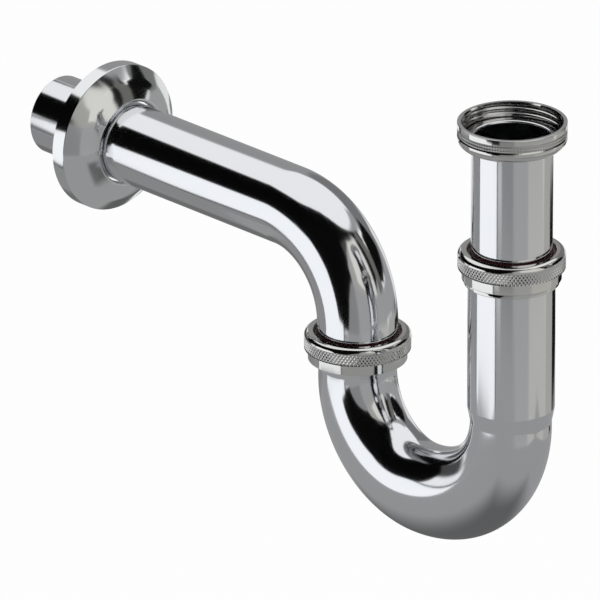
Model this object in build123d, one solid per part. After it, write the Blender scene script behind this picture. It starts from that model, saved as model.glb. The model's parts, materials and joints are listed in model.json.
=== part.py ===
"""Tubular trap for a wash basin: a chromed brass P-trap.

A height-adjustable inlet tube hangs from the basin waste on a union nut and dips into the
socket of a U-bend. A second knurled nut holds the bent outlet pipe on the other arm, and a
rosette slides along that pipe to the wall.

Millimetres, +Z up. The origin is on the inlet axis, on the sealing face of the inlet rim.
The U-bend and the outlet pipe lie in the XZ plane, and the outlet runs towards -X.
"""
import os
from math import pi, sin

from build123d import *

# Tube stock, shared by the inlet tube, the U-bend and the outlet pipe
tube_od = 32.0
tube_wall = 1.0

# Rolled rim at the top of the inlet tube and at the foot of the outlet pipe
rim_width = 2.6  # how far it stands out from the tube
rim_thickness = 1.1
rim_fillet = 0.4
rim_lip = 0.9

# Inlet tube
inlet_length = 87.0
inlet_standing = 54.6  # rim face above the socket mouth, as set

# U-bend
arm_spacing = 86.0
socket_rise = 65.7  # socket mouth above the start of the bend
socket_wall = 0.9
socket_foot = 0.8  # start of the cone above the start of the bend
socket_cone = 6.0
cone_round = 4.0
mouth_flare = 0.6
bend_reach = 47.7  # lowest point of the bend from the inlet axis
bend_depth = 42.9  # lowest point of the centre line below the start of the bend
bend_swell = 2.85  # how much the section grows at that point, in the plane of the bend
bend_squeeze = 0.25  # how much it narrows there, across that plane
bend_sections = 5
bend_waist = 0.5  # how much the bend narrows towards the outlet arm
arm_length = 11.5  # straight outlet arm
arm_foot = 2.2  # start of its cone above the end of the bend
arm_cone = 4.0

# Outlet pipe
outlet_neck = 6.9  # straight length between its rim and the bend
outlet_bend_radius = 38.3
outlet_run = 132.7  # straight length after the bend
end_round = 0.3

# Union nut for the basin waste, with a 1 1/4 inch pipe thread
union_height = 10.0
union_wall = 2.025  # from the thread's crests to the outside
union_lid = 1.7
union_shoulder = 3.6
relief_depth = 0.625  # run-out groove between the thread and the rim's seat
relief_rise = 0.3  # top of that groove above the rim's face
bead_count = 3
bead_pitch = 1.27
bead_start = 2.7  # first groove below the top of the nut
bead_depth = 0.3

# Knurled nuts on the U-bend, both alike
nut_height = 11.8
nut_wall = 2.3
nut_lid = 1.6
nut_shoulder = 2.4
nut_foot_wall = 0.7
nut_foot_height = 4.5  # plain foot under the knurled band
thread_bevel = 0.5

# Threaded rings soldered on the arms of the U-bend
ring_wall = 1.6  # of the ring on the socket
inlet_ring_height = 6.7
outlet_ring_height = 4.3

# Rings and seals inside the nuts
slip_thickness = 0.9
seal_height = 4.3
gasket_thickness = 2.0

# Wall rosette
rosette_width = 13.3  # from its bore to its edge
rosette_depth = 14.5
rosette_skirt = 6.0
rosette_wall = 1.1
rosette_edge = 0.55  # rounding of the front edge
rosette_face = 7.2  # gently sloped front, from the bore to the brow
rosette_fall = 3.0  # how far that front falls back
rosette_brow = 14.0  # rounding between the front and the steeper outside
rosette_web = 1.5  # thickness of the front, along the pipe
rosette_lip = 1.0  # rounding of the front into the bore
rosette_collar = 4.0
rosette_to_end = 28.0  # rosette's back to the end of the pipe

# Play between pieces
tube_play = 0.25  # inlet tube in the socket
union_play = 0.3  # union nut on the inlet tube
crest_play = 0.875  # the union nut's thread over the rim
nut_play = 1.5  # knurled nuts round the tubes
rosette_play = 0.7  # rosette on the outlet pipe
gasket_play = 0.3  # gasket round the bore of the tube
slip_play = 0.3  # slip rings on the tubes
seal_play = 0.1  # rubber seal on the inlet tube
thread_play = 0.15  # nuts on the threaded rings
chamber_play = 0.3  # rings and seals inside a nut
solder_gap = 0.05
seat_gap = 0.1  # between pieces stacked on one another
edge_break = 0.3

# Radii of the tubes
tube_r = tube_od / 2
tube_ri = tube_r - tube_wall
socket_ri = tube_r + tube_play
socket_r = socket_ri + socket_wall
rim_r = tube_r + rim_width

# Heights down the inlet
rim_under = -rim_thickness
union_ring_top = rim_under - seat_gap
union_ring_bottom = union_ring_top - slip_thickness
union_seat = union_ring_bottom - seat_gap
union_bottom = union_seat - union_lid
union_top = union_bottom + union_height
mouth_z = -inlet_standing
bend_z = mouth_z - socket_rise
seal_bottom = mouth_z + seat_gap
seal_top = seal_bottom + seal_height

# Heights up the outlet
arm_x = -arm_spacing
low_z = bend_z - bend_depth
rise_r = arm_spacing - bend_reach
rise_z = low_z + rise_r
arm_z = rise_z + arm_length
gasket_top = arm_z + gasket_thickness
outlet_foot = gasket_top + seat_gap
outlet_rim_top = outlet_foot + rim_thickness
outlet_bend_z = outlet_foot + outlet_neck
outlet_z = outlet_bend_z + outlet_bend_radius
outlet_run_x = arm_x - outlet_bend_radius
outlet_end_x = outlet_run_x - outlet_run

# Inside of the knurled nuts
thread_r = socket_r + ring_wall
nut_bore_r = thread_r + thread_play
chamber_r = nut_bore_r - chamber_play
slip_r = tube_r + slip_play


def turned(*corners):
    """Ring turned about Z from corners given as radius, height and rounding."""
    points = [(radius, height) for radius, height, _ in corners]
    rounds = [rounding for _, _, rounding in corners]
    outline = FilletPolyline(*points, radius=rounds, close=True)
    return revolve(make_face(Plane.XZ * outline), Axis.Z)


def slip_ring(bottom, bevel_on_top):
    """Flat ring between a nut and a rim, bevelled where it meets the rim's fillet."""
    top = bottom + slip_thickness
    if bevel_on_top:
        return turned(
            (slip_r, bottom, 0),
            (chamber_r, bottom, 0),
            (chamber_r, top, 0),
            (slip_r + rim_fillet, top, 0),
            (slip_r, top - rim_fillet, 0),
        )
    return turned(
        (slip_r, bottom + rim_fillet, 0),
        (slip_r + rim_fillet, bottom, 0),
        (chamber_r, bottom, 0),
        (chamber_r, top, 0),
        (slip_r, top, 0),
    )


def inlet_union_nut():
    """Union nut that draws the inlet rim up against the basin waste."""
    hole_r = tube_r + union_play
    bore_r = rim_r + crest_play
    outer_r = bore_r + union_wall
    relief_r = bore_r + relief_depth
    nut = turned(
        (hole_r, union_bottom, edge_break),
        (outer_r, union_bottom, union_shoulder),
        (outer_r, union_top, edge_break),
        (bore_r + thread_bevel, union_top, 0),
        (bore_r, union_top - thread_bevel, 0),
        (bore_r, relief_rise, 0),
        (relief_r, relief_rise - relief_depth, 0),
        (relief_r, union_seat, edge_break),
        (hole_r, union_seat, 0),
    )
    for index in range(bead_count):
        groove_z = union_top - bead_start - index * bead_pitch
        nut -= turned(
            (outer_r - bead_depth, groove_z, 0),
            (outer_r + bead_depth, groove_z - 2 * bead_depth, 0),
            (outer_r + bead_depth, groove_z + 2 * bead_depth, 0),
        )
    return nut


def inlet_tube():
    """Straight tube with a rolled rim that seats on the basin waste."""
    foot = -inlet_length
    return turned(
        (tube_ri, foot, 0),
        (tube_r, foot, end_round),
        (tube_r, rim_under, rim_fillet),
        (rim_r, rim_under, edge_break),
        (rim_r, 0, edge_break),
        (tube_ri, 0, rim_lip),
    )


def knurled_nut(bottom):
    """Nut with a knurled band, a rounded shoulder and a plain narrower foot."""
    top = bottom + nut_height
    seat = top - nut_lid
    hole_r = tube_r + nut_play
    outer_r = nut_bore_r + nut_wall
    foot_r = nut_bore_r + nut_foot_wall
    band = bottom + nut_foot_height
    return turned(
        (nut_bore_r + thread_bevel, bottom, 0),
        (foot_r, bottom, 0),
        (foot_r, band, 0),
        (outer_r, band, edge_break),
        (outer_r, top, nut_shoulder),
        (hole_r, top, edge_break),
        (hole_r, seat, 0),
        (nut_bore_r, seat, edge_break),
        (nut_bore_r, bottom + thread_bevel, 0),
    )


def thread_ring(inner_r, top, height):
    """Threaded ring soldered round the end of an arm."""
    bottom = top - height
    return turned(
        (inner_r + solder_gap, bottom, 0),
        (thread_r, bottom, edge_break),
        (thread_r, top - thread_bevel, 0),
        (thread_r - thread_bevel, top, 0),
        (inner_r + solder_gap, top, 0),
    )


def inlet_seal():
    """Rubber ring that the nut squeezes between the tube and the flared mouth."""
    bore_r = tube_r + seal_play
    shoulder_r = socket_ri + mouth_flare - seat_gap
    nose = mouth_flare - seat_gap
    return turned(
        (bore_r, seal_bottom - nose, 0),
        (shoulder_r - nose, seal_bottom - nose, 0),
        (shoulder_r, seal_bottom, 0),
        (chamber_r, seal_bottom, 0),
        (chamber_r, seal_top, 0),
        (bore_r, seal_top, 0),
    )


def outlet_gasket():
    """Flat gasket between the end of the outlet arm and the pipe's rim."""
    bore_r = tube_ri + gasket_play
    return turned(
        (bore_r, arm_z, 0),
        (chamber_r, arm_z, 0),
        (chamber_r, gasket_top, 0),
        (bore_r, gasket_top, 0),
    )


def tube_section(plane):
    """Cross-section of the tube stock on a plane."""
    return plane * (Circle(tube_r) - Circle(tube_ri))


def bent_bar(radius):
    """Bar along the U-bend, a little taller and narrower in section at its lowest point."""
    fall = EllipticalCenterArc((-bend_reach, bend_z), bend_reach, bend_depth, 0, arc_size=-90)
    rise = CenterArc((-bend_reach, rise_z), rise_r, 270, -90)
    path = Plane.XZ * Wire([fall, rise])
    sections = []
    for index in range(bend_sections):
        along = index / (bend_sections - 1)
        change = sin(pi * along)
        place = Plane(origin=path @ along, x_dir=(0, 1, 0), z_dir=path % along)
        stock = radius - bend_waist * along
        across = stock - bend_squeeze * change
        in_plane = stock + bend_swell * change
        sections.append(place * Ellipse(across, in_plane))
    return sweep(sections, path=path, multisection=True)


def u_bend():
    """Tube bent through half a turn, with the inlet arm widened to a socket."""
    cone_bottom = bend_z + socket_foot
    cone_top = cone_bottom + socket_cone
    inlet_arm = turned(
        (tube_ri, bend_z, 0),
        (tube_r, bend_z, 0),
        (tube_r, cone_bottom, cone_round),
        (socket_r, cone_top, cone_round),
        (socket_r, mouth_z, 0),
        (socket_ri + mouth_flare, mouth_z, 0),
        (socket_ri, mouth_z - mouth_flare, 0),
        (socket_ri, cone_top, cone_round),
        (tube_ri, cone_bottom, cone_round),
    )
    waist_r = tube_r - bend_waist
    waist_ri = tube_ri - bend_waist
    arm_bottom = rise_z + arm_foot
    arm_top = arm_bottom + arm_cone
    outlet_arm = turned(
        (waist_ri, rise_z, 0),
        (waist_r, rise_z, 0),
        (waist_r, arm_bottom, cone_round),
        (tube_r, arm_top, cone_round),
        (tube_r, arm_z, 0),
        (tube_ri, arm_z, 0),
        (tube_ri, arm_top, cone_round),
        (waist_ri, arm_bottom, cone_round),
    )
    return inlet_arm + bent_bar(tube_r) - bent_bar(tube_ri) + on_outlet_arm(outlet_arm)


def outlet_pipe():
    """Pipe with a rolled rim at its foot, bent level and run out to the wall."""
    neck = turned(
        (tube_ri, outlet_foot, rim_lip),
        (rim_r, outlet_foot, edge_break),
        (rim_r, outlet_rim_top, edge_break),
        (tube_r, outlet_rim_top, rim_fillet),
        (tube_r, outlet_bend_z, 0),
        (tube_ri, outlet_bend_z, 0),
    )
    bend_start = Plane((arm_x, 0, outlet_bend_z))
    centre = Axis((outlet_run_x, 0, outlet_bend_z), (0, -1, 0))
    bend = revolve(tube_section(bend_start), centre, revolution_arc=90)
    run = turned(
        (tube_ri, 0, 0),
        (tube_r, 0, 0),
        (tube_r, outlet_run, end_round),
        (tube_ri, outlet_run, 0),
    )
    run_place = Pos(outlet_run_x, 0, outlet_z) * Rot(0, -90, 0)
    return Pos(arm_x, 0, 0) * neck + bend + run_place * run


def wall_rosette():
    """Pressed cover with a domed front, a skirt to the wall and a guiding collar."""
    bore_r = tube_r + rosette_play
    outer_r = bore_r + rosette_width
    hub_r = bore_r + rosette_wall
    brow_r = bore_r + rosette_face
    rim = rosette_depth - rosette_skirt
    rosette = turned(
        (bore_r, 0, rosette_lip),
        (brow_r, rosette_fall, rosette_brow),
        (outer_r, rim, rosette_edge),
        (outer_r, rosette_depth, 0),
        (outer_r - rosette_wall, rosette_depth, 0),
        (outer_r - rosette_wall, rim + rosette_web, 0),
        (brow_r, rosette_fall + rosette_web, rosette_brow - rosette_web),
        (hub_r, rosette_web, 0),
        (hub_r, rosette_collar, 0),
        (bore_r, rosette_collar, 0),
    )
    front_x = outlet_end_x + rosette_to_end + rosette_depth
    return Pos(front_x, 0, outlet_z) * Rot(0, -90, 0) * rosette


def on_outlet_arm(shape):
    """Move a piece from the inlet axis to the axis of the outlet arm."""
    return Pos(arm_x, 0, 0) * shape


inlet_nut_bottom = seal_top + seat_gap + slip_thickness + seat_gap + nut_lid - nut_height
outlet_nut_bottom = outlet_rim_top + seat_gap + slip_thickness + seat_gap + nut_lid - nut_height

pieces = {
    "inlet_union_nut": inlet_union_nut(),
    "inlet_rim_ring": slip_ring(union_ring_bottom, bevel_on_top=True),
    "inlet_tube": inlet_tube(),
    "inlet_clamp_nut": knurled_nut(inlet_nut_bottom),
    "inlet_slip_ring": slip_ring(seal_top + seat_gap, bevel_on_top=False),
    "inlet_seal": inlet_seal(),
    "inlet_thread_ring": thread_ring(socket_r, mouth_z, inlet_ring_height),
    "u_bend": u_bend(),
    "outlet_thread_ring": on_outlet_arm(thread_ring(tube_r, arm_z, outlet_ring_height)),
    "outlet_gasket": on_outlet_arm(outlet_gasket()),
    "outlet_nut": on_outlet_arm(knurled_nut(outlet_nut_bottom)),
    "outlet_slip_ring": on_outlet_arm(slip_ring(outlet_rim_top + seat_gap, bevel_on_top=False)),
    "outlet_pipe": outlet_pipe(),
    "wall_rosette": wall_rosette(),
}

os.makedirs("parts", exist_ok=True)
for name, piece in pieces.items():
    export_step(piece, f"parts/{name}.step")
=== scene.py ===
"""Chromed tubular trap for a wash basin, dressed for a studio picture.

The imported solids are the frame. Tubes, nuts and rosette are turned and bent again here with smooth
walls, knurls and threads, and each one rides on its own body. Lengths are in metres.
"""
import json
import math
from typing import NamedTuple

import bpy
import numpy as np
from bpy.props import FloatProperty, FloatVectorProperty, IntProperty, PointerProperty
from mathutils import Matrix, Vector


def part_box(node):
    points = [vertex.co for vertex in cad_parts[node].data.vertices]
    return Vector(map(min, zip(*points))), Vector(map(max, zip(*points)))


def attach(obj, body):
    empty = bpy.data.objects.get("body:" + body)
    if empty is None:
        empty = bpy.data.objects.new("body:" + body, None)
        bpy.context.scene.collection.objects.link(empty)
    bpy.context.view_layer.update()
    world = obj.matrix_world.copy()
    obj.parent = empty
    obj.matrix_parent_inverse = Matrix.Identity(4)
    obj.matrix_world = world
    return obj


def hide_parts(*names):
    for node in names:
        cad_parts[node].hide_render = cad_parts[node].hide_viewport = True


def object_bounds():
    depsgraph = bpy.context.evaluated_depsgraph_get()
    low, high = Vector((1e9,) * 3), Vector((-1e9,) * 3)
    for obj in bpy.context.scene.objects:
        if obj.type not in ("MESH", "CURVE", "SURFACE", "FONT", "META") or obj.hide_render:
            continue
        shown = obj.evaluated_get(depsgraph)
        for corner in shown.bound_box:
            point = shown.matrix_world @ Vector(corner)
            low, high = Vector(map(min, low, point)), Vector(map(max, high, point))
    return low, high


bl_info = {
    "name": "Tubular Trap",
    "version": (1, 0, 0),
    "blender": (4, 5, 0),
    "location": "View3D > Sidebar > Trap",
    "description": "Dresses a chromed basin trap and its studio",
    "category": "Object",
}

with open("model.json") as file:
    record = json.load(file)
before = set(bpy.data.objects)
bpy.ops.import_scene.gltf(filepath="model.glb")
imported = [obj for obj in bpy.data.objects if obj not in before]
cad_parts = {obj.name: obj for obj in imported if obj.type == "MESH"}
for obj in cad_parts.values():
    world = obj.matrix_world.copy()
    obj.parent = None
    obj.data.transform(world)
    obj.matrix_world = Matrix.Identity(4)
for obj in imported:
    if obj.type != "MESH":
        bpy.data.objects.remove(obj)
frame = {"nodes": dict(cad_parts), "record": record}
cad_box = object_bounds()
MM = 0.001


def mount(name):
    """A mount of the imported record, by name."""
    return next(m for m in frame["record"]["mounts"] if m["name"] == name)


def turned_size(node):
    """Axis X, outer radius, bottom and top of a node that is turned about a vertical axis."""
    low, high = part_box(node)
    return (low.x + high.x) / 2, (high.x - low.x) / 2, low.z, high.z


ARM_X, NUT_RADIUS, OUTLET_NUT_BOTTOM, OUTLET_NUT_TOP = turned_size("outlet_nut")
_, _, INLET_NUT_BOTTOM, INLET_NUT_TOP = turned_size("inlet_clamp_nut")
_, UNION_RADIUS, UNION_BOTTOM, UNION_TOP = turned_size("inlet_union_nut")
_, RIM_RADIUS, INLET_FOOT, INLET_TOP = turned_size("inlet_tube")
_, RING_RADIUS, INLET_RING_BOTTOM, INLET_RING_TOP = turned_size("inlet_thread_ring")
_, _, OUTLET_RING_BOTTOM, OUTLET_RING_TOP = turned_size("outlet_thread_ring")
_, BEND_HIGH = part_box("u_bend")
PIPE_LOW, PIPE_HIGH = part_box("outlet_pipe")
ROSETTE_LOW, ROSETTE_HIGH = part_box("wall_rosette")
TUBE_RADIUS = mount("outlet_spigot")["dims"]["r_mm"] * MM
THREAD_RADIUS = mount("inlet_thread")["dims"]["r_mm"] * MM
OUTLET_AXIS_Z = mount("outlet_spigot")["pos_m"][2]


class TrapSizes(bpy.types.PropertyGroup):
    """Sizes of the trap that the solids' boxes don't tell."""

    wall: FloatProperty(
        name="Tube wall", description="Wall of the tube stock", default=1.0 * MM, unit="LENGTH")
    rim_thickness: FloatProperty(
        name="Rim", description="Thickness of the rolled rims", default=1.1 * MM, unit="LENGTH")
    rim_fillet: FloatProperty(
        name="Rim fillet", description="Rounding between tube and rim", default=0.4 * MM, unit="LENGTH")
    rim_lip: FloatProperty(
        name="Rim lip", description="Rounding of the bore at a rim", default=0.9 * MM, unit="LENGTH")
    edge: FloatProperty(
        name="Edge", description="Rounding of turned edges", default=0.3 * MM, unit="LENGTH")
    socket_play: FloatProperty(
        name="Socket play", description="Gap round the inlet tube", default=0.25 * MM, unit="LENGTH")
    cone_height: FloatProperty(
        name="Socket cone", description="Height of the cone under the socket",
        default=6.0 * MM, unit="LENGTH")
    cone_foot: FloatProperty(
        name="Cone foot", description="Plain tube between cone and bend", default=0.8 * MM, unit="LENGTH")
    cone_round: FloatProperty(
        name="Cone rounding", description="Rounding at both ends of the cone",
        default=4.0 * MM, unit="LENGTH")
    mouth_flare: FloatProperty(
        name="Mouth flare", description="Bevel inside the socket's mouth", default=0.6 * MM, unit="LENGTH")
    bend_reach: FloatProperty(
        name="Bend reach", description="Lowest point from the inlet axis", default=47.7 * MM, unit="LENGTH")
    bend_depth: FloatProperty(
        name="Bend depth", description="Drop of the bend's centre line", default=42.9 * MM, unit="LENGTH")
    bend_swell: FloatProperty(
        name="Bend swell", description="Growth of the section in the bend",
        default=2.83 * MM, unit="LENGTH")
    bend_squeeze: FloatProperty(
        name="Bend squeeze", description="Narrowing across the bend", default=0.25 * MM, unit="LENGTH")
    bend_waist: FloatProperty(
        name="Bend waist", description="Narrowing towards the outlet arm", default=0.5 * MM, unit="LENGTH")
    arm_length: FloatProperty(
        name="Outlet arm", description="Straight arm after the bend", default=11.5 * MM, unit="LENGTH")
    arm_foot: FloatProperty(
        name="Arm foot", description="Plain tube between bend and arm's cone",
        default=2.2 * MM, unit="LENGTH")
    arm_cone: FloatProperty(
        name="Arm cone", description="Height of the outlet arm's cone", default=4.0 * MM, unit="LENGTH")
    outlet_bend: FloatProperty(
        name="Outlet bend", description="Radius of the outlet pipe's bend",
        default=38.3 * MM, unit="LENGTH")


class NutSizes(bpy.types.PropertyGroup):
    """Sizes of the nuts and their threads."""

    knurl_count: IntProperty(
        name="Knurls", description="Diamonds round a knurled nut", default=92, min=24)
    knurl_depth: FloatProperty(
        name="Knurl depth", description="Depth of the knurl's grooves", default=0.45 * MM, unit="LENGTH")
    knurl_pitch: FloatProperty(
        name="Knurl pitch", description="Height of a diamond", default=2.1 * MM, unit="LENGTH")
    band_drop: FloatProperty(
        name="Band drop", description="Knurled band below the nut's top", default=2.3 * MM, unit="LENGTH")
    shoulder: FloatProperty(
        name="Shoulder", description="Rounding over the knurled band", default=2.4 * MM, unit="LENGTH")
    foot_height: FloatProperty(
        name="Foot", description="Plain foot under the band", default=4.5 * MM, unit="LENGTH")
    foot_wall: FloatProperty(
        name="Foot wall", description="Wall of the foot", default=0.7 * MM, unit="LENGTH")
    lid: FloatProperty(
        name="Lid", description="Thickness of a knurled nut's lid", default=1.6 * MM, unit="LENGTH")
    hole_play: FloatProperty(
        name="Hole play", description="Gap between tube and nut", default=1.5 * MM, unit="LENGTH")
    thread_play: FloatProperty(
        name="Thread play", description="Gap between nut and ring", default=0.15 * MM, unit="LENGTH")
    thread_bevel: FloatProperty(
        name="Bevel", description="Bevel at a thread's end", default=0.5 * MM, unit="LENGTH")
    thread_pitch: FloatProperty(
        name="Thread pitch", description="Rise of a thread a turn", default=2.309 * MM, unit="LENGTH")
    fine_pitch: FloatProperty(
        name="Ring pitch", description="Rise of the rings' thread a turn", default=1.5 * MM, unit="LENGTH")
    thread_depth: FloatProperty(
        name="Thread depth", description="Depth of a thread's groove", default=0.55 * MM, unit="LENGTH")
    ring_depth: FloatProperty(
        name="Ring thread depth", description="Depth of the rings' thread", default=0.4 * MM, unit="LENGTH")
    union_lid: FloatProperty(
        name="Union lid", description="Thickness of the union nut's lid", default=1.7 * MM, unit="LENGTH")
    union_play: FloatProperty(
        name="Union play", description="Gap round the inlet tube", default=0.3 * MM, unit="LENGTH")
    union_shoulder: FloatProperty(
        name="Union shoulder", description="Rounding under the beads", default=3.6 * MM, unit="LENGTH")
    relief_depth: FloatProperty(
        name="Run-out", description="Depth of the thread's run-out groove",
        default=0.625 * MM, unit="LENGTH")
    relief_rise: FloatProperty(
        name="Run-out top", description="Top of that groove over the rim", default=0.3 * MM, unit="LENGTH")
    bead_start: FloatProperty(
        name="Beads start", description="First groove below the rim", default=2.7 * MM, unit="LENGTH")
    bead_pitch: FloatProperty(
        name="Bead pitch", description="Distance between grooves", default=1.27 * MM, unit="LENGTH")
    bead_depth: FloatProperty(
        name="Bead depth", description="Depth of a groove", default=0.3 * MM, unit="LENGTH")
    bead_count: IntProperty(
        name="Grooves", description="Grooves round the union nut", default=3, min=1)
    bead_diamonds: IntProperty(
        name="Diamonds", description="Diamonds round a bead", default=120, min=24)


class RosetteSizes(bpy.types.PropertyGroup):
    """Section of the wall rosette."""

    play: FloatProperty(
        name="Play", description="Gap round the outlet pipe", default=0.7 * MM, unit="LENGTH")
    depth: FloatProperty(
        name="Depth", description="Wall to the front's corner", default=14.5 * MM, unit="LENGTH")
    lip: FloatProperty(
        name="Lip", description="Rounding of the front into the bore", default=1.0 * MM, unit="LENGTH")
    face: FloatProperty(
        name="Front", description="Gently sloped front, from bore to brow", default=7.2 * MM, unit="LENGTH")
    fall: FloatProperty(
        name="Front fall", description="How far that front falls back", default=3.0 * MM, unit="LENGTH")
    brow: FloatProperty(
        name="Brow", description="Rounding from front to outside", default=14.0 * MM, unit="LENGTH")
    skirt: FloatProperty(
        name="Skirt", description="Straight skirt to the wall", default=6.0 * MM, unit="LENGTH")
    wall: FloatProperty(
        name="Wall", description="Thickness of the sheet", default=1.1 * MM, unit="LENGTH")
    edge: FloatProperty(
        name="Edge", description="Rounding of the front edge", default=0.55 * MM, unit="LENGTH")
    web: FloatProperty(
        name="Web", description="Thickness of the front along the pipe", default=1.5 * MM, unit="LENGTH")
    collar: FloatProperty(
        name="Collar", description="Length of the guiding collar", default=4.0 * MM, unit="LENGTH")


class TrapFinish(bpy.types.PropertyGroup):
    """Colours and polish of the trap's materials."""

    tube_colour: FloatVectorProperty(
        name="Tubes", description="Polished chrome of the tubes",
        subtype="COLOR", default=(0.88, 0.885, 0.89))
    nut_colour: FloatVectorProperty(
        name="Nuts", description="Chrome of the nuts", subtype="COLOR", default=(0.84, 0.835, 0.82))
    rosette_colour: FloatVectorProperty(
        name="Rosette", description="Chrome of the rosette", subtype="COLOR", default=(0.88, 0.88, 0.88))
    rubber_colour: FloatVectorProperty(
        name="Rubber", description="Seal and gasket", subtype="COLOR", default=(0.02, 0.02, 0.022))
    plastic_colour: FloatVectorProperty(
        name="Slip rings", description="Plastic slip rings", subtype="COLOR", default=(0.028, 0.007, 0.009))
    tube_roughness: FloatProperty(
        name="Tube roughness", description="Polish of the tubes", subtype="FACTOR", default=0.035)
    nut_roughness: FloatProperty(
        name="Nut roughness", description="Polish of the nuts", subtype="FACTOR", default=0.07)


class StudioSettings(bpy.types.PropertyGroup):
    """Camera, floor and lamps."""

    azimuth: FloatProperty(
        name="Azimuth", description="Camera's turn from the front",
        subtype="ANGLE", default=math.radians(46.10))
    elevation: FloatProperty(
        name="Elevation", description="Camera's height angle", subtype="ANGLE", default=math.radians(22.66))
    distance: FloatProperty(
        name="Distance", description="Camera from the inlet's rim", default=6.948, unit="LENGTH")
    view_width: FloatProperty(
        name="Width seen", description="Width of the picture at the inlet", default=0.23258, unit="LENGTH")
    aim_right: FloatProperty(
        name="Aim right", description="Picture's centre right of the inlet", default=-0.0823, unit="LENGTH")
    aim_up: FloatProperty(
        name="Aim up", description="Picture's centre above the inlet", default=-0.0638, unit="LENGTH")
    floor_drop: FloatProperty(
        name="Floor", description="Floor below the lowest point", default=1.5, unit="LENGTH")
    lamp_power: FloatProperty(
        name="Lamps", description="Power of each soft lamp", default=18.0, unit="POWER")


class Value:
    """A shader socket that takes part in arithmetic; an expression adds Math nodes."""

    def __init__(self, finish, socket):
        self.finish = finish
        self.socket = socket

    def combine(self, operation, first, second):
        return self.finish.node("ShaderNodeMath", {"operation": operation}, {0: first, 1: second})

    def __add__(self, other):
        return self.combine("ADD", self, other)

    def __radd__(self, other):
        return self.combine("ADD", other, self)

    def __sub__(self, other):
        return self.combine("SUBTRACT", self, other)

    def __rsub__(self, other):
        return self.combine("SUBTRACT", other, self)

    def __mul__(self, other):
        return self.combine("MULTIPLY", self, other)

    def __rmul__(self, other):
        return self.combine("MULTIPLY", other, self)


class Finish:
    """A node tree of a material or a world, built from expressions."""

    def __init__(self, owner):
        owner.use_nodes = True
        self.tree = owner.node_tree
        self.tree.nodes.clear()

    def node(self, kind, settings=None, sockets=None, output=0):
        """Add a node: its settings first, then the values or links of its sockets."""
        node = self.tree.nodes.new(kind)
        for name, value in (settings or {}).items():
            setattr(node, name, value)
        for name, value in (sockets or {}).items():
            if isinstance(value, Value):
                self.tree.links.new(value.socket, node.inputs[name])
            else:
                node.inputs[name].default_value = value
        return Value(self, node.outputs[output]) if node.outputs else node

    def seen(self):
        """1 on rays that come from the camera, straight, mirrored or let through, and 0 on the rest."""
        path = "ShaderNodeLightPath"
        camera = self.node(path, output="Is Camera Ray")
        mirrored = self.node(path, output="Is Glossy Ray")
        return camera + mirrored + self.node(path, output="Is Transmission Ray")

    def surface(self, shader):
        """Put a shader on the material's surface."""
        self.node("ShaderNodeOutputMaterial", None, {"Surface": shader})


def new_material(name):
    """A material by name with an empty tree."""
    material = bpy.data.materials.new(name)
    return material, Finish(material)


CLOUD_SCALE = 140.0
STREAK_SCALE = 900.0
CLOUD_SHARE = 0.12
CLOUD_SHADE = 0.86
GRAIN_SCALE = 1600.0
GRAIN_HEIGHT = 0.05 * MM
GRAIN_ROUGHNESS = 0.2
TUBE_WEAR = 0.02
NUT_WEAR = 0.05


def polished_chrome(name, colour, roughness, wear):
    """Mirror chrome: a bright metal with faint clouds in its polish."""
    material, finish = new_material(name)
    place = finish.node("ShaderNodeTexCoord", output="Object")
    clouds = finish.node(
        "ShaderNodeTexNoise", None,
        {"Vector": place, "Scale": CLOUD_SCALE, "Detail": 3.0, "Roughness": 0.6})
    streaks = finish.node(
        "ShaderNodeTexNoise", None,
        {"Vector": place, "Scale": STREAK_SCALE, "Detail": 2.0, "Roughness": 0.5})
    polish = roughness + (clouds - 0.5) * wear + (streaks - 0.5) * (wear / 2)
    cloudy = [part * CLOUD_SHADE for part in colour]
    shade = finish.node(
        "ShaderNodeMix", {"data_type": "RGBA"},
        {"Factor": clouds * CLOUD_SHARE, "A": (*colour, 1.0), "B": (*cloudy, 1.0)}, output="Result")
    finish.surface(finish.node(
        "ShaderNodeBsdfPrincipled", None,
        {"Base Color": shade, "Metallic": 1.0, "Roughness": polish}))
    return material


def moulded(name, colour, roughness, grain):
    """Rubber or plastic with a fine moulded grain."""
    material, finish = new_material(name)
    place = finish.node("ShaderNodeTexCoord", output="Object")
    speckle = finish.node(
        "ShaderNodeTexNoise", None, {"Vector": place, "Scale": GRAIN_SCALE, "Detail": 2.0})
    bump = finish.node(
        "ShaderNodeBump", None, {"Height": speckle, "Strength": grain, "Distance": GRAIN_HEIGHT})
    finish.surface(finish.node(
        "ShaderNodeBsdfPrincipled", None,
        {"Base Color": (*colour, 1.0), "Roughness": roughness + (speckle - 0.5) * GRAIN_ROUGHNESS,
         "Normal": bump}))
    return material


def trap_material(kind):
    """The trap's own materials, made once each."""
    found = bpy.data.materials.get(kind)
    if found is not None:
        return found
    look = bpy.context.scene.trap_finish
    if kind == "chrome_tube":
        return polished_chrome(kind, look.tube_colour, look.tube_roughness, TUBE_WEAR)
    if kind == "chrome_nut":
        return polished_chrome(kind, look.nut_colour, look.nut_roughness, NUT_WEAR)
    if kind == "chrome_rosette":
        return polished_chrome(kind, look.rosette_colour, look.tube_roughness, TUBE_WEAR)
    if kind == "seal_rubber":
        return moulded(kind, look.rubber_colour, roughness=0.75, grain=0.3)
    if kind == "slip_plastic":
        return moulded(kind, look.plastic_colour, roughness=0.4, grain=0.1)
    raise ValueError(f"no material called {kind}")


ARC_STEP = math.radians(5)
SMOOTH_ANGLE = math.radians(32)
SAME_POINT = 1e-9


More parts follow.
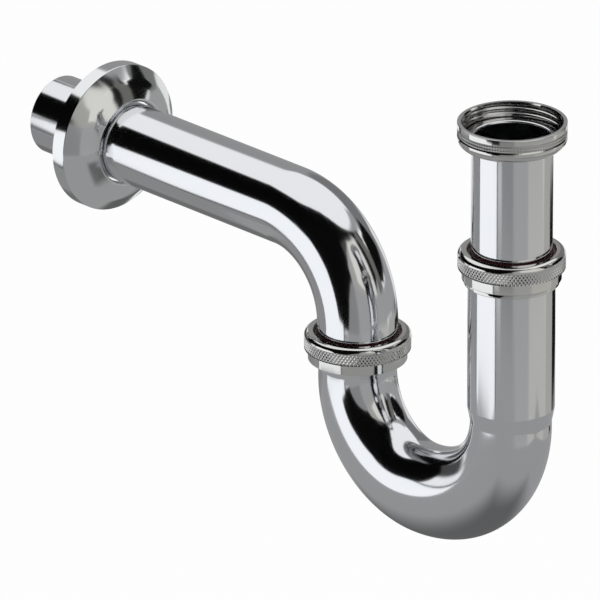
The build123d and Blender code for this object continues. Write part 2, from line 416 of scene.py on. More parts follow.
def rounded(corners):
    """Closed outline from corners given as radius, height and rounding, run anticlockwise."""
    points = []
    count = len(corners)
    for index, (radius, height, rounding) in enumerate(corners):
        corner = np.array((radius, height))
        if rounding == 0:
            points.append(corner)
            continue
        back = np.array(corners[index - 1][:2]) - corner
        ahead = np.array(corners[(index + 1) % count][:2]) - corner
        back /= np.linalg.norm(back)
        ahead /= np.linalg.norm(ahead)
        half = math.acos(float(np.clip(back @ ahead, -1, 1))) / 2
        middle = (back + ahead) / np.linalg.norm(back + ahead)
        centre = corner + middle * rounding / math.sin(half)
        start = corner + back * rounding / math.tan(half) - centre
        end = corner + ahead * rounding / math.tan(half) - centre
        sweep = math.pi - 2 * half
        steps = max(2, math.ceil(sweep / ARC_STEP))
        for step in range(steps + 1):
            share = step / steps
            weight = math.sin(sweep * (1 - share)), math.sin(sweep * share)
            points.append(centre + (start * weight[0] + end * weight[1]) / math.sin(sweep))
    return np.array(points)


def divided(outline, longest, low=-math.inf, high=math.inf):
    """Outline with its long edges cut up between two heights."""
    points = []
    for first, second in zip(outline, np.roll(outline, -1, axis=0)):
        points.append(first)
        cuts = [0.0]
        for level in (low, high):
            if (first[1] - level) * (second[1] - level) < 0:
                cuts.append((level - first[1]) / (second[1] - first[1]))
        cuts = sorted(cuts) + [1.0]
        for begin, stop in zip(cuts, cuts[1:]):
            middle = first[1] + (second[1] - first[1]) * (begin + stop) / 2
            length = np.linalg.norm(second - first) * (stop - begin)
            pieces = max(1, math.ceil(length / longest)) if low <= middle <= high else 1
            for piece in range(pieces):
                share = begin + (stop - begin) * piece / pieces
                if share > 0:
                    points.append(first + (second - first) * share)
    return np.array(points)


def fine_rows(outline, longest, low, high, chosen):
    """Cut an outline's points at the chosen radii into fine rows, and leave the rest as it is."""
    fine = divided(outline, longest, low, high)
    corners = np.array([np.min(np.linalg.norm(outline - point, axis=1)) < SAME_POINT for point in fine])
    return fine[chosen(fine[:, 0]) | corners]


def wall_mesh(name, rings):
    """Closed wall from rings of points: the rings join in a loop and so does each ring."""
    loops, steps = rings.shape[:2]
    across = np.arange(loops)
    along = np.arange(steps)
    here = across[:, None] * steps + along[None, :]
    beside = across[:, None] * steps + ((along + 1) % steps)[None, :]
    ahead = ((across + 1) % loops)[:, None] * steps + along[None, :]
    corner = ((across + 1) % loops)[:, None] * steps + ((along + 1) % steps)[None, :]
    quads = np.stack([here, beside, corner, ahead], -1).reshape(-1, 4)
    mesh = bpy.data.meshes.new(name)
    mesh.from_pydata(rings.reshape(-1, 3).tolist(), [], quads.tolist())
    mesh.validate()
    mesh.shade_smooth()
    mesh.set_sharp_from_angle(angle=SMOOTH_ANGLE)
    return mesh


def add_piece(name, mesh, body, node, kind):
    """Show a mesh in place of a solid, on that solid's body."""
    piece = bpy.data.objects.new(name, mesh)
    bpy.context.scene.collection.objects.link(piece)
    mesh.materials.append(trap_material(kind))
    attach(piece, body)
    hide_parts(node)


def turned(name, outline, steps, centre=(0, 0), relief=None):
    """Mesh turned about a vertical axis; relief gives the cut at each angle, radius and height."""
    angle = np.arange(steps) * (2 * math.pi / steps)
    radius = np.repeat(outline[:, :1], steps, axis=1)
    height = np.repeat(outline[:, 1:], steps, axis=1)
    if relief is not None:
        radius = radius - relief(angle[None, :], outline[:, :1], outline[:, 1:])
    rings = np.stack([
        centre[0] + radius * np.cos(angle), centre[1] + radius * np.sin(angle), height], -1)
    return wall_mesh(name, rings)


def fade(value, low, high):
    """Smooth step from 0 at low to 1 at high."""
    share = np.clip((value - low) / (high - low), 0, 1)
    return share * share * (3 - 2 * share)


def sawtooth(turns):
    """Triangle wave: 0 on whole turns and 1 halfway between them."""
    return 1 - np.abs(2 * (turns - np.floor(turns)) - 1)


THREAD_FLANK = (0.2, 0.8)


def thread_cut(depth, pitch, low, high):
    """Helical groove in a bore or on a ring, running out at both ends."""
    def cut(angle, radius, height):
        ends = fade(height, low, low + pitch / 3) * (1 - fade(height, high - pitch / 3, high))
        groove = fade(sawtooth(height / pitch - angle / (2 * math.pi)), *THREAD_FLANK)
        return depth * groove * ends
    return cut


def knurl_cut(nut, low, high):
    """Diamond knurl between two heights, fading at both edges."""
    def cut(angle, reach, height):
        around = angle * nut.knurl_count / (2 * math.pi)
        rise = (height - low) / nut.knurl_pitch
        crests = np.minimum(sawtooth(around + rise), sawtooth(around - rise))
        edge = nut.knurl_pitch / 4
        ends = fade(height, low, low + edge) * (1 - fade(height, high - edge, high))
        outside = reach > NUT_RADIUS - 2 * nut.knurl_depth
        return nut.knurl_depth * (1 - crests) * ends * outside
    return cut


STEPS_PER_KNURL = 6
STEPS_PER_DIAMOND = 4
ROW_STEP = 0.13 * MM
THREAD_STEP = 0.11 * MM
BEAD_STEP = 0.2 * MM
PLAIN_STEPS = 256
SOLDER_GAP = 0.05 * MM


class TRAP_OT_knurled_nuts(bpy.types.Operator):
    """Turn the two knurled nuts of the U-bend"""

    bl_idname = "trap.knurled_nuts"
    bl_label = "Knurled Nuts"

    def execute(self, context):
        nut = context.scene.trap_nuts
        trap = context.scene.trap_sizes
        for name, body, node, centre_x, bottom, top in (
            ("clamp_nut", "inlet_clamp_nut", "inlet_clamp_nut", 0.0, INLET_NUT_BOTTOM, INLET_NUT_TOP),
            ("swivel_nut", "outlet_nut", "outlet_nut", ARM_X, OUTLET_NUT_BOTTOM, OUTLET_NUT_TOP),
        ):
            bore = RING_RADIUS + nut.thread_play
            hole = TUBE_RADIUS + nut.hole_play
            band = bottom + nut.foot_height
            seat = top - nut.lid
            outline = rounded([
                (bore + nut.thread_bevel, bottom, 0),
                (bore + nut.foot_wall, bottom, trap.edge / 2),
                (bore + nut.foot_wall, band, 0),
                (NUT_RADIUS, band, trap.edge),
                (NUT_RADIUS, top, nut.shoulder),
                (hole, top, trap.edge),
                (hole, seat, 0),
                (bore, seat, trap.edge),
                (bore, bottom + nut.thread_bevel, 0),
            ])
            band_top = top - nut.band_drop
            outline = fine_rows(outline, ROW_STEP, band, band_top, lambda radius: radius > NUT_RADIUS - MM)
            cut = knurl_cut(nut, band, band_top)
            mesh = turned(name, outline, nut.knurl_count * STEPS_PER_KNURL, (centre_x, 0), cut)
            add_piece(name, mesh, body, node, "chrome_nut")
        return {"FINISHED"}


class TRAP_OT_union_nut(bpy.types.Operator):
    """Turn the union nut with its beads and its internal thread"""

    bl_idname = "trap.union_nut"
    bl_label = "Union Nut"

    def execute(self, context):
        nut = context.scene.trap_nuts
        trap = context.scene.trap_sizes
        hole = TUBE_RADIUS + nut.union_play
        relief = THREAD_RADIUS + nut.relief_depth
        seat = UNION_BOTTOM + nut.union_lid
        grooves = [UNION_TOP - nut.bead_start - i * nut.bead_pitch for i in range(nut.bead_count)]
        outside = []
        for level in reversed(grooves):
            half = 1.5 * nut.bead_depth
            outside += [
                (UNION_RADIUS, level - half, nut.bead_depth / 2),
                (UNION_RADIUS - nut.bead_depth, level, 0),
                (UNION_RADIUS, level + half, nut.bead_depth / 2),
            ]
        outline = rounded([
            (hole, UNION_BOTTOM, trap.edge),
            (UNION_RADIUS, UNION_BOTTOM, nut.union_shoulder),
            *outside,
            (UNION_RADIUS, UNION_TOP, trap.edge),
            (THREAD_RADIUS + nut.thread_bevel, UNION_TOP, 0),
            (THREAD_RADIUS, UNION_TOP - nut.thread_bevel, 0),
            (THREAD_RADIUS, nut.relief_rise, 0),
            (relief, nut.relief_rise - nut.relief_depth, 0),
            (relief, seat, trap.edge),
            (hole, seat, 0),
        ])
        outline = fine_rows(
            outline, THREAD_STEP, nut.relief_rise, UNION_TOP - nut.thread_bevel,
            lambda radius: radius < THREAD_RADIUS + nut.thread_bevel)
        outline = fine_rows(
            outline, BEAD_STEP, grooves[-1], grooves[0],
            lambda radius: radius > UNION_RADIUS - 2 * nut.bead_depth)
        thread = thread_cut(nut.thread_depth, nut.thread_pitch, nut.relief_rise, UNION_TOP)
        beads = self.bead_cut(nut, grooves)

        def cut(angle, radius, height):
            inside = radius < (THREAD_RADIUS + UNION_RADIUS) / 2
            bore = inside & (height >= nut.relief_rise)
            return np.where(bore, -thread(angle, radius, height), beads(angle, radius, height))

        mesh = turned("union_nut", outline, nut.bead_diamonds * STEPS_PER_DIAMOND, (0, 0), cut)
        add_piece("union_nut", mesh, "union_nut", "inlet_union_nut", "chrome_nut")
        return {"FINISHED"}

    @staticmethod
    def bead_cut(nut, grooves):
        """Row of small diamonds on each bead between the grooves."""
        high = grooves[0]
        low = grooves[-1]

        def cut(angle, radius, height):
            around = angle * nut.bead_diamonds / (2 * math.pi)
            fall = (high - height) / nut.bead_pitch
            crests = np.minimum(sawtooth(around + fall), sawtooth(around - fall))
            inside = (height < high) & (height > low) & (radius > UNION_RADIUS - 2 * nut.bead_depth)
            return nut.bead_depth * (1 - crests) * inside
        return cut


class TRAP_OT_thread_rings(bpy.types.Operator):
    """Turn the two threaded rings on the U-bend's arms"""

    bl_idname = "trap.thread_rings"
    bl_label = "Threaded Rings"

    def execute(self, context):
        nut = context.scene.trap_nuts
        trap = context.scene.trap_sizes
        socket_radius = BEND_HIGH.y
        for name, node, centre_x, bore, bottom, top in (
            ("socket_thread", "inlet_thread_ring", 0.0, socket_radius, INLET_RING_BOTTOM, INLET_RING_TOP),
            ("arm_thread", "outlet_thread_ring", ARM_X, TUBE_RADIUS, OUTLET_RING_BOTTOM, OUTLET_RING_TOP),
        ):
            outline = rounded([
                (bore + SOLDER_GAP, bottom, 0),
                (RING_RADIUS, bottom, trap.edge),
                (RING_RADIUS, top - nut.thread_bevel, 0),
                (RING_RADIUS - nut.thread_bevel, top, 0),
                (bore + SOLDER_GAP, top, 0),
            ])
            plain = bottom + nut.fine_pitch
            outline = divided(outline, THREAD_STEP, plain, top - nut.thread_bevel)
            thread = thread_cut(nut.ring_depth, nut.fine_pitch, plain, top)

            def cut(angle, radius, height):
                outside = radius > RING_RADIUS - nut.thread_bevel / 2
                return np.where(outside, thread(angle, radius, height), 0)

            mesh = turned(name, outline, PLAIN_STEPS, (centre_x, 0), cut)
            add_piece(name, mesh, "u_bend", node, "chrome_nut")
        return {"FINISHED"}


def bent_wall(name, outline, centres, tangents, lengths, swell=None):
    """Wall along a bent centre line: the outline gives radius and length along that line."""
    place = np.stack([np.interp(outline[:, 1], lengths, centres[:, axis]) for axis in range(3)], -1)
    ahead = np.stack([np.interp(outline[:, 1], lengths, tangents[:, axis]) for axis in range(3)], -1)
    ahead /= np.linalg.norm(ahead, axis=1, keepdims=True)
    out = np.stack([-ahead[:, 2], np.zeros(len(ahead)), ahead[:, 0]], -1)
    change = np.zeros((len(outline), 2)) if swell is None else swell(outline[:, 1])
    angle = np.arange(PLAIN_STEPS) * (2 * math.pi / PLAIN_STEPS)
    in_plane = (outline[:, 0] + change[:, 0])[:, None, None] * np.cos(angle)[None, :, None]
    across = (outline[:, 0] + change[:, 1])[:, None, None] * np.sin(angle)[None, :, None]
    sideways = np.array((0.0, 1.0, 0.0))
    rings = place[:, None, :] + in_plane * out[:, None, :] - across * sideways
    return wall_mesh(name, rings)


def centre_line(*runs):
    """Join sampled runs of points into one line, with its tangents and lengths."""
    points = [runs[0]]
    for run in runs[1:]:
        points.append(run[1:])
    centres = np.concatenate(points)
    tangents = np.gradient(centres, axis=0)
    tangents /= np.linalg.norm(tangents, axis=1, keepdims=True)
    lengths = np.concatenate([[0], np.cumsum(np.linalg.norm(np.diff(centres, axis=0), axis=1))])
    return centres, tangents, lengths


LINE_STEP = 0.25 * MM
WALL_STEP = 1.0 * MM


def straight(start, end):
    """Points along a straight run."""
    count = max(2, math.ceil(np.linalg.norm(np.subtract(end, start)) / LINE_STEP))
    return np.linspace(start, end, count + 1)


def quarter(centre, reach, depth, first, last):
    """Points along an elliptical quarter in the plane of the bends, from one angle to another."""
    count = math.ceil(max(reach, depth) * abs(last - first) / LINE_STEP)
    angle = np.linspace(first, last, count + 1)
    zero = np.zeros(count + 1)
    return np.array(centre) + np.stack([reach * np.cos(angle), zero, depth * np.sin(angle)], -1)


class TRAP_OT_inlet_tube(bpy.types.Operator):
    """Turn the inlet tube with its rolled rim"""

    bl_idname = "trap.inlet_tube"
    bl_label = "Inlet Tube"

    def execute(self, context):
        trap = context.scene.trap_sizes
        bore = TUBE_RADIUS - trap.wall
        under = INLET_TOP - trap.rim_thickness
        outline = rounded([
            (bore, INLET_FOOT, 0),
            (TUBE_RADIUS, INLET_FOOT, trap.edge),
            (TUBE_RADIUS, under, trap.rim_fillet),
            (RIM_RADIUS, under, trap.edge),
            (RIM_RADIUS, INLET_TOP, trap.edge),
            (bore, INLET_TOP, trap.rim_lip),
        ])
        mesh = turned("rimmed_inlet_tube", outline, PLAIN_STEPS)
        add_piece("rimmed_inlet_tube", mesh, "inlet_tube", "inlet_tube", "chrome_tube")
        return {"FINISHED"}


class TRAP_OT_u_bend(bpy.types.Operator):
    """Bend the U with its widened socket"""

    bl_idname = "trap.u_bend"
    bl_label = "U-Bend"

    def execute(self, context):
        trap = context.scene.trap_sizes
        mouth = BEND_HIGH.z
        socket_outer = BEND_HIGH.y
        socket_inner = TUBE_RADIUS + trap.socket_play
        bore = TUBE_RADIUS - trap.wall
        waist = TUBE_RADIUS - trap.bend_waist
        rise = -ARM_X - trap.bend_reach
        rise_top = OUTLET_RING_TOP - trap.arm_length
        bend_top = rise_top - rise + trap.bend_depth
        down = straight((0, 0, mouth), (0, 0, bend_top))
        fall = quarter((-trap.bend_reach, 0, bend_top), trap.bend_reach, trap.bend_depth, 0, -math.pi / 2)
        climb = quarter((-trap.bend_reach, 0, rise_top), rise, rise, -math.pi / 2, -math.pi)
        up = straight((ARM_X, 0, rise_top), (ARM_X, 0, OUTLET_RING_TOP))
        centres, tangents, lengths = centre_line(down, fall, climb, up)
        bend_start = mouth - bend_top
        bend_end = lengths[-1] - trap.arm_length
        arm_start = bend_end + trap.arm_foot
        arm_end = arm_start + trap.arm_cone
        cone_end = bend_start - trap.cone_foot
        cone_start = cone_end - trap.cone_height
        outline = rounded([
            (TUBE_RADIUS, lengths[-1], 0),
            (TUBE_RADIUS, arm_end, trap.cone_round),
            (waist, arm_start, trap.cone_round),
            (waist, bend_end, 0),
            (TUBE_RADIUS, bend_start, 0),
            (TUBE_RADIUS, cone_end, trap.cone_round),
            (socket_outer, cone_start, trap.cone_round),
            (socket_outer, 0, 0),
            (socket_inner + trap.mouth_flare, 0, 0),
            (socket_inner, trap.mouth_flare, 0),
            (socket_inner, cone_start, trap.cone_round),
            (bore, cone_end, trap.cone_round),
            (bore, bend_start, 0),
            (waist - trap.wall, bend_end, 0),
            (waist - trap.wall, arm_start, trap.cone_round),
            (bore, arm_end, trap.cone_round),
            (bore, lengths[-1], 0),
        ])
        outline = divided(outline, WALL_STEP, bend_start, bend_end)

        def swell(length):
            share = np.clip((length - bend_start) / (bend_end - bend_start), 0, 1)
            wave = np.sin(math.pi * share)
            return np.stack([trap.bend_swell * wave, -trap.bend_squeeze * wave], -1)

        mesh = bent_wall("bent_trap_tube", outline, centres, tangents, lengths, swell)
        add_piece("bent_trap_tube", mesh, "u_bend", "u_bend", "chrome_tube")
        return {"FINISHED"}


class TRAP_OT_outlet_pipe(bpy.types.Operator):
    """Bend the outlet pipe with its rolled rim"""

    bl_idname = "trap.outlet_pipe"
    bl_label = "Outlet Pipe"

    def execute(self, context):
        trap = context.scene.trap_sizes
        foot = PIPE_LOW.z
        bore = TUBE_RADIUS - trap.wall
        turn = trap.outlet_bend
        bend_z = OUTLET_AXIS_Z - turn
        run_x = ARM_X - turn
        up = straight((ARM_X, 0, foot), (ARM_X, 0, bend_z))
        over = quarter((run_x, 0, bend_z), turn, turn, 0, math.pi / 2)
        out = straight((run_x, 0, OUTLET_AXIS_Z), (PIPE_LOW.x, 0, OUTLET_AXIS_Z))
        centres, tangents, lengths = centre_line(up, over, out)
        end = lengths[-1]
        bend_start = bend_z - foot
        outline = rounded([
            (bore, 0, trap.rim_lip),
            (RIM_RADIUS, 0, trap.edge),
            (RIM_RADIUS, trap.rim_thickness, trap.edge),
            (TUBE_RADIUS, trap.rim_thickness, trap.rim_fillet),
            (TUBE_RADIUS, end, trap.edge),
            (bore, end, 0),
        ])
        bend_end = end - (run_x - PIPE_LOW.x)
        outline = divided(outline, WALL_STEP, bend_start, bend_end)[::-1]
        mesh = bent_wall("bent_outlet_pipe", outline, centres, tangents, lengths)
        add_piece("bent_outlet_pipe", mesh, "outlet_pipe", "outlet_pipe", "chrome_tube")
        return {"FINISHED"}


class TRAP_OT_rosette(bpy.types.Operator):
    """Press the wall rosette"""

    bl_idname = "trap.rosette"
    bl_label = "Wall Rosette"

    def execute(self, context):
        rosette = context.scene.trap_rosette
        outer = (ROSETTE_HIGH.y - ROSETTE_LOW.y) / 2
        bore = TUBE_RADIUS + rosette.play
        hub = bore + rosette.wall
        brow = bore + rosette.face
        rim = rosette.depth - rosette.skirt
        outline = rounded([
            (bore, 0, rosette.lip),
            (brow, rosette.fall, rosette.brow),
            (outer, rim, rosette.edge),
            (outer, rosette.depth, 0),
            (outer - rosette.wall, rosette.depth, 0),
            (outer - rosette.wall, rim + rosette.web, 0),
            (brow, rosette.fall + rosette.web, rosette.brow - rosette.web),
            (hub, rosette.web, 0),
            (hub, rosette.collar, 0),
            (bore, rosette.collar, 0),
        ])
        mesh = turned("pressed_rosette", outline, PLAIN_STEPS)
        to_wall = Matrix.Rotation(math.radians(-90), 4, "Y")
        front = Matrix.Translation((ROSETTE_LOW.x + rosette.depth, 0, OUTLET_AXIS_Z))
        mesh.transform(front @ to_wall)
        add_piece("pressed_rosette", mesh, "rosette", "wall_rosette", "chrome_rosette")
        return {"FINISHED"}


class TRAP_OT_seals(bpy.types.Operator):
    """Give the slip rings, the seal and the gasket their materials"""

    bl_idname = "trap.seals"
    bl_label = "Rings and Seals"

    def execute(self, context):
        for node, kind in (
            ("inlet_rim_ring", "slip_plastic"),
            ("inlet_slip_ring", "slip_plastic"),
            ("outlet_slip_ring", "slip_plastic"),
            ("inlet_seal", "seal_rubber"),
            ("outlet_gasket", "seal_rubber"),
        ):
            solid = frame["nodes"][node]
            solid.data.materials.clear()
            solid.data.materials.append(trap_material(kind))
        return {"FINISHED"}


WARM = (1.0, 0.985, 0.93)
NEUTRAL = (1.0, 1.0, 1.0)
COOL = (0.97, 0.985, 1.0)


class Card(NamedTuple):
    """A curved card of the studio, seen only in reflections: part of a sphere round the trap.

    Angles are in degrees from the camera, and an edge is level or runs through points of azimuth and
    elevation. A card of smaller radius stands in front of the others.
    """

    name: str
    azimuth: tuple
    low: float | tuple
    high: float | tuple
    strength: float
    feather: float
    radius: float
    tint: tuple = NEUTRAL

    @staticmethod
    def bound(edge, turn):
        """Elevation of a lower or upper edge, level or through points, at each azimuth."""
        if isinstance(edge, tuple):
            return np.interp(turn, [point[0] for point in edge], [point[1] for point in edge])
        return np.full_like(turn, edge)


CEILING = (
    (-170, 36), (-150, 35), (-120, 40), (-111, 43), (-90, 50), (-70, 57), (-54, 66), (-29, 73),
    (10, 73), (30, 70), (45, 66), (60, 62), (75, 57), (90, 50), (125, 38))
STUDIO_CARDS = (
    Card("table", (-180, 180), -90, -21, 0.29, 3, 1.30),
    # Darker patches of the table behind and under the trap: painted shadow of the trap on the table, seen
    # only in its reflections.
    Card("table_shadow_right", (142, 194), -66, -33, 0.12, 10, 1.28),
    Card("table_shadow_left", (-186, -136), -66, -22, 0.17, 14, 1.28),
    Card("backdrop", (138, 176), -37, -25, 0.95, 3, 1.27),
    Card("front_wall", (-26, 20), -30, 20, 0.27, 4, 1.26),
    Card("right_wall", (2, 96), -30, 24, 0.38, 8, 1.258),
    Card("upper_wall", (-8, 96), 14, CEILING, 0.06, 4, 1.256),
    Card("upper_dark", (-70, 8),
         ((-70, 4), (-50, -20.5), (-23, -20.5), (-20, -14), (-12, 1), (-2, 13), (8, 21)), CEILING,
         0.003, 1.5, 1.254),
    Card("back_left", (-168, -108), -18, 14, 0.07, 6, 1.25),
    Card("back", (110, 176), -21, 39, 0.20, 3, 1.25),
    Card("back_top", (168, 196), -21, 39, 0.32, 4, 1.248),
    Card("ceiling_right", (58, 132), ((58, 48), (90, 42), (132, 32)), ((58, 60), (90, 56), (132, 46)),
         0.36, 4, 1.245),
    Card("dark_ceiling", (-166, -40), ((-166, 20), (-118, 2), (-75, 3), (-40, 46)), CEILING,
         0.002, 2, 1.22),
    Card("dark_crown", (-44, 98), ((-44, 46), (0, 44), (20, 51), (40, 54), (60, 54), (98, 34)), CEILING,
         0.002, 3, 1.21),
    Card("cream_wall", (4, 69),
         ((4, 14), (20, 10), (40, 5), (69, 4)), ((4, 28), (15, 43), (30, 53), (69, 53)),
         0.42, 2, 1.19, WARM),
    Card("cream_core", (19, 68),
         ((19, 18), (34, 12), (44, 6), (68, 5)), ((19, 38), (26, 48), (34, 53), (68, 52)),
         0.78, 2, 1.188, WARM),
    Card("brown_wall", (77, 93), 3, 50, 0.16, 2, 1.195, WARM),
    Card("right_mid", (82, 144), -16, 5, 0.37, 3, 1.192),
    Card("dark_post", (69, 79), ((69, 6), (79, 16)), ((69, 42), (79, 50)), 0.006, 1, 1.172),
    Card("dark_strip", (90, 131), ((90, 9), (100, 4), (131, 8)), ((90, 14), (94, 30), (101, 38), (131, 30)),
         0.004, 1, 1.17),
    Card("right_white", (142, 164), -20, ((142, 6), (164, -4)), 0.85, 2, 1.18),
    Card("front_low", (-40, 26), -33, -20, 0.36, 2, 1.18),
    Card("front_mid", (8, 54), -33, -15, 0.42, 10, 1.178),
    Card("cream_low", (42, 108), -33, -13, 0.53, 8, 1.176, WARM),
    Card("right_low", (96, 128), -28, -14, 0.43, 2, 1.165, WARM),
    Card("dark_bar", (126, 182), -25.5, -19, 0.004, 0.8, 1.16),
    Card("side_table", (-150, -98), -30, -17, 0.30, 2, 1.16),
    Card("side_shade", (-148, -137), -26, -18, 0.13, 3, 1.155),
    Card("left_rim", (-198, -162), -24, -20, 0.85, 1.5, 1.155),
    Card("softbox_frame", (-102.6, -34.5), ((-102.6, -33), (-97, -29.8), (-92, -28.6), (-34.5, -28.6)),
         ((-102.6, -22), (-98, -3), (-94, 7.5), (-88, 10.5), (-69, 10.5), (-61, 11.5), (-55, 7), (-49.5, 0),
          (-48, -15), (-34.5, -16)),
         0.05, 0.6, 1.145),
    Card("softbox", (-101, -37), ((-101, -31), (-97, -28), (-92, -27), (-37, -27)),
         ((-101, -25), (-99.5, -22), (-97, -6), (-93, 6), (-88, 9), (-69, 9), (-61, 10), (-56, 6), (-51, 0),
          (-49.5, -16.5), (-37, -17.5)),
         1.14, 0.8, 1.14, COOL),
)
CARD_STEP = 1.5
FULL_TURN = 360
FLOOR_SIDE = 28.0
FLOOR_PAINT = (0.85, 0.85, 0.85, 1.0)
FLOOR_GLOW = 0.92
SKY_LIGHT = 0.9
SENSOR_WIDTH = 36.0
LAMP_SIZE = 1.2
LAMP_DISTANCE = 1.8
LAMPS = {"key_lamp": (-70, 35), "fill_lamp": (60, 50)}


class Sheet(NamedTuple):
    """A level card under the bend, seen only in reflections, and below it in every pose."""

    name: str
    drop: float
    along: tuple
    across: tuple
    strength: float
    feather: float
    tint: tuple = NEUTRAL


SHEET_TURN = math.radians(-23)
SHEET_STEPS = 60
TABLE_SHEETS = (
    Sheet("table_top", 21.5 * MM, (-0.18, 0.203), (-0.23, 0.16), 0.35, 5 * MM),
    # Dimmer sheet just above the table top, right under the bend: painted contact shadow of the trap on the
    # table, seen only in reflections.
    Sheet("contact_shadow", 21.0 * MM, (-0.06, 0.07), (-0.13, 0.06), 0.13, 50 * MM),
)


class TRAP_OT_studio(bpy.types.Operator):
    """Set up the floor, the cards, the lamps and the camera"""

    bl_idname = "trap.studio"
    bl_label = "Studio"

    def execute(self, context):
        studio = context.scene.trap_studio
        context.scene.view_settings.view_transform = "Standard"
        self.middle = (cad_box[0] + cad_box[1]) / 2
        self.add_camera(context, studio)
        self.add_floor(context, studio)
        self.add_world(context)
        for card in STUDIO_CARDS:
            self.add_card(context, studio, card)
        for sheet in TABLE_SHEETS:
            self.add_sheet(context, sheet)
        self.add_lamps(context, studio)
        return {"FINISHED"}

    def add_camera(self, context, studio):
        """Camera on its line of sight, framed from the inlet's rim."""
        turn = studio.azimuth
        lift = studio.elevation
        back = Vector((math.sin(turn) * math.cos(lift), -math.cos(turn) * math.cos(lift), math.sin(lift)))
        right = Vector((math.cos(turn), math.sin(turn), 0))
        up = back.cross(right)
        data = bpy.data.cameras.new("picture_camera")
        data.sensor_width = SENSOR_WIDTH
        data.lens = data.sensor_width * studio.distance / studio.view_width
        data.clip_end = 100.0
        camera = bpy.data.objects.new("picture_camera", data)
        context.scene.collection.objects.link(camera)
        place = right * studio.aim_right + up * studio.aim_up + back * studio.distance
        camera.matrix_world = Matrix.Translation(place) @ Matrix((right, up, back)).transposed().to_4x4()
        context.scene.camera = camera

    def add_floor(self, context, studio):
        """Pale floor, white to the camera and in reflections, which keeps the trap's shadow."""
        material, finish = new_material("pale_floor")
        paint = finish.node("ShaderNodeBsdfDiffuse", None, {"Color": FLOOR_PAINT})
        glow = finish.node("ShaderNodeEmission", None, {"Color": (1, 1, 1, 1), "Strength": 1.0})
        share = finish.seen() * FLOOR_GLOW
        finish.surface(finish.node("ShaderNodeMixShader", None, {0: share, 1: paint, 2: glow}))
        half = FLOOR_SIDE / 2
        drop = cad_box[0].z - studio.floor_drop
        corners = [(-half, -half, drop), (half, -half, drop), (half, half, drop), (-half, half, drop)]
        mesh = bpy.data.meshes.new("floor")
        mesh.from_pydata(corners, [], [(0, 1, 2, 3)])
        mesh.materials.append(material)
        floor = bpy.data.objects.new("floor", mesh)
        context.scene.collection.objects.link(floor)

    def add_world(self, context):
        """White surround for the picture, and a plain level of light."""
        world = bpy.data.worlds.new("white_surround")
        context.scene.world = world
        finish = Finish(world)
        sky = finish.node(
            "ShaderNodeBackground", None,
            {"Color": (1, 1, 1, 1), "Strength": SKY_LIGHT + finish.seen() * (1 - SKY_LIGHT)})
        finish.node("ShaderNodeOutputWorld", None, {"Surface": sky})

    def add_card(self, context, studio, card):
        """Part of a sphere round the trap, with soft edges."""
        first, last = card.azimuth
        turn = np.linspace(first, last, math.ceil((last - first) / CARD_STEP) + 1)[None, :]
        low = card.bound(card.low, turn)
        high = card.bound(card.high, turn)
        rows = math.ceil(np.max(high - low) / CARD_STEP)
        lift = low + (high - low) * np.linspace(0, 1, rows + 1)[:, None]
        beside = np.minimum(turn - first, last - turn) + (FULL_TURN if last - first >= FULL_TURN else 0)
        below = lift - low + np.where(low <= -90, FULL_TURN, 0)
        above = high - lift
        edge = np.minimum(np.minimum(below, above), beside)
        cover = fade(edge, 0.0, card.feather)
        toward = studio.azimuth + np.radians(turn)
        level = np.radians(lift)
        middle = np.array(self.middle)
        points = middle + card.radius * np.stack([
            np.sin(toward) * np.cos(level), -np.cos(toward) * np.cos(level),
            np.sin(level) * np.ones_like(toward)], -1)
        self.add_glow(context, card, points, cover)

    def add_sheet(self, context, sheet):
        """Level rectangle under the lowest point, turned towards the softbox, with soft edges."""
        ahead = np.array((math.sin(SHEET_TURN), -math.cos(SHEET_TURN), 0.0))
        aside = np.array((math.cos(SHEET_TURN), math.sin(SHEET_TURN), 0.0))
        along = np.linspace(*sheet.along, SHEET_STEPS + 1)[:, None]
        across = np.linspace(*sheet.across, SHEET_STEPS + 1)[None, :]
        edge = np.minimum(
            np.minimum(along - sheet.along[0], sheet.along[1] - along),
            np.minimum(across - sheet.across[0], sheet.across[1] - across))
        points = along[..., None] * ahead + across[..., None] * aside
        points[..., 2] = cad_box[0].z - sheet.drop
        self.add_glow(context, sheet, points, fade(edge, 0.0, sheet.feather))

    def add_glow(self, context, card, points, cover):
        """Grid of points that glows in reflections alone."""
        rows, columns = points.shape[:2]
        here = np.arange(rows - 1)[:, None] * columns + np.arange(columns - 1)[None, :]
        quads = np.stack([here, here + 1, here + columns + 1, here + columns], -1).reshape(-1, 4)
        mesh = bpy.data.meshes.new(card.name)
        mesh.from_pydata(points.reshape(-1, 3).tolist(), [], quads.tolist())
        layer = mesh.attributes.new("cover", "FLOAT", "POINT")
        layer.data.foreach_set("value", cover.reshape(-1).astype(np.float32))
        mesh.materials.append(self.card_material(card))
        piece = bpy.data.objects.new(card.name, mesh)
        context.scene.collection.objects.link(piece)
        for ray in ("camera", "diffuse", "transmission", "volume_scatter", "shadow"):
            setattr(piece, f"visible_{ray}", False)

    @staticmethod
    def card_material(card):
        """Even glow that thins out at the card's edge."""
        material, finish = new_material(card.name)
        cover = finish.node("ShaderNodeAttribute", {"attribute_name": "cover"}, output="Fac")
        glow = finish.node(
            "ShaderNodeEmission", None, {"Color": (*card.tint, 1.0), "Strength": card.strength})
        clear = finish.node("ShaderNodeBsdfTransparent")
        finish.surface(finish.node("ShaderNodeMixShader", None, {0: cover, 1: clear, 2: glow}))
        return material

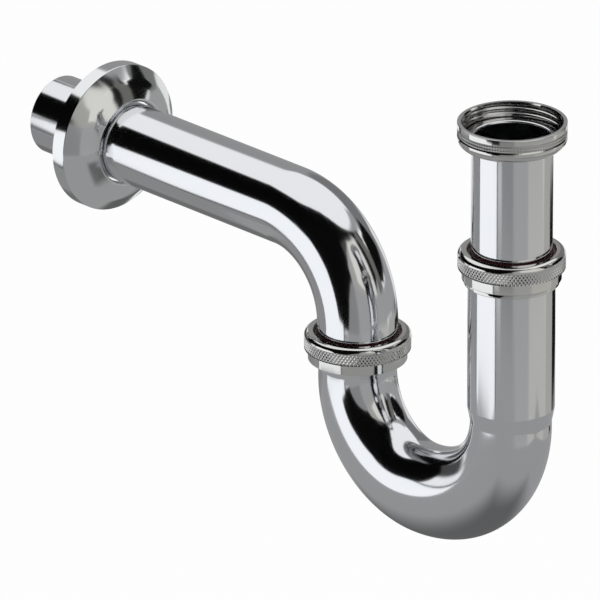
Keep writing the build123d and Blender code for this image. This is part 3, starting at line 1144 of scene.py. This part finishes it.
    def add_lamps(self, context, studio):
        """Two broad soft lamps for the rubber, the plastic and the floor."""
        for name, (turn, lift) in LAMPS.items():
            data = bpy.data.lights.new(name, "AREA")
            data.shape = "DISK"
            data.size = LAMP_SIZE
            data.energy = studio.lamp_power
            lamp = bpy.data.objects.new(name, data)
            context.scene.collection.objects.link(lamp)
            toward = studio.azimuth + math.radians(turn)
            level = math.radians(lift)
            away = Vector((
                math.sin(toward) * math.cos(level), -math.cos(toward) * math.cos(level), math.sin(level)))
            lamp.location = self.middle + away * LAMP_DISTANCE
            lamp.rotation_euler = away.to_track_quat("Z", "Y").to_euler()
            lamp.visible_glossy = False
            lamp.visible_camera = False


OPERATORS = (
    TRAP_OT_inlet_tube,
    TRAP_OT_union_nut,
    TRAP_OT_knurled_nuts,
    TRAP_OT_thread_rings,
    TRAP_OT_u_bend,
    TRAP_OT_outlet_pipe,
    TRAP_OT_rosette,
    TRAP_OT_seals,
    TRAP_OT_studio,
)


class TRAP_PT_panel(bpy.types.Panel):
    """Pieces of the trap and its studio"""

    bl_idname = "TRAP_PT_panel"
    bl_label = "Tubular Trap"
    bl_space_type = "VIEW_3D"
    bl_region_type = "UI"
    bl_category = "Trap"

    def draw(self, context):
        for operator in OPERATORS:
            self.layout.operator(operator.bl_idname)


PROPERTY_GROUPS = {
    "trap_sizes": TrapSizes,
    "trap_nuts": NutSizes,
    "trap_rosette": RosetteSizes,
    "trap_finish": TrapFinish,
    "trap_studio": StudioSettings,
}
CLASSES = (*PROPERTY_GROUPS.values(), *OPERATORS, TRAP_PT_panel)


def register():
    for item in CLASSES:
        bpy.utils.register_class(item)
    for name, group in PROPERTY_GROUPS.items():
        setattr(bpy.types.Scene, name, PointerProperty(type=group))


def unregister():
    for name in PROPERTY_GROUPS:
        delattr(bpy.types.Scene, name)
    for item in reversed(CLASSES):
        bpy.utils.unregister_class(item)


def main():
    register()
    bpy.ops.trap.inlet_tube()
    bpy.ops.trap.union_nut()
    bpy.ops.trap.knurled_nuts()
    bpy.ops.trap.thread_rings()
    bpy.ops.trap.u_bend()
    bpy.ops.trap.outlet_pipe()
    bpy.ops.trap.rosette()
    bpy.ops.trap.seals()
    bpy.ops.trap.studio()


if __name__ == "__main__":
    main()
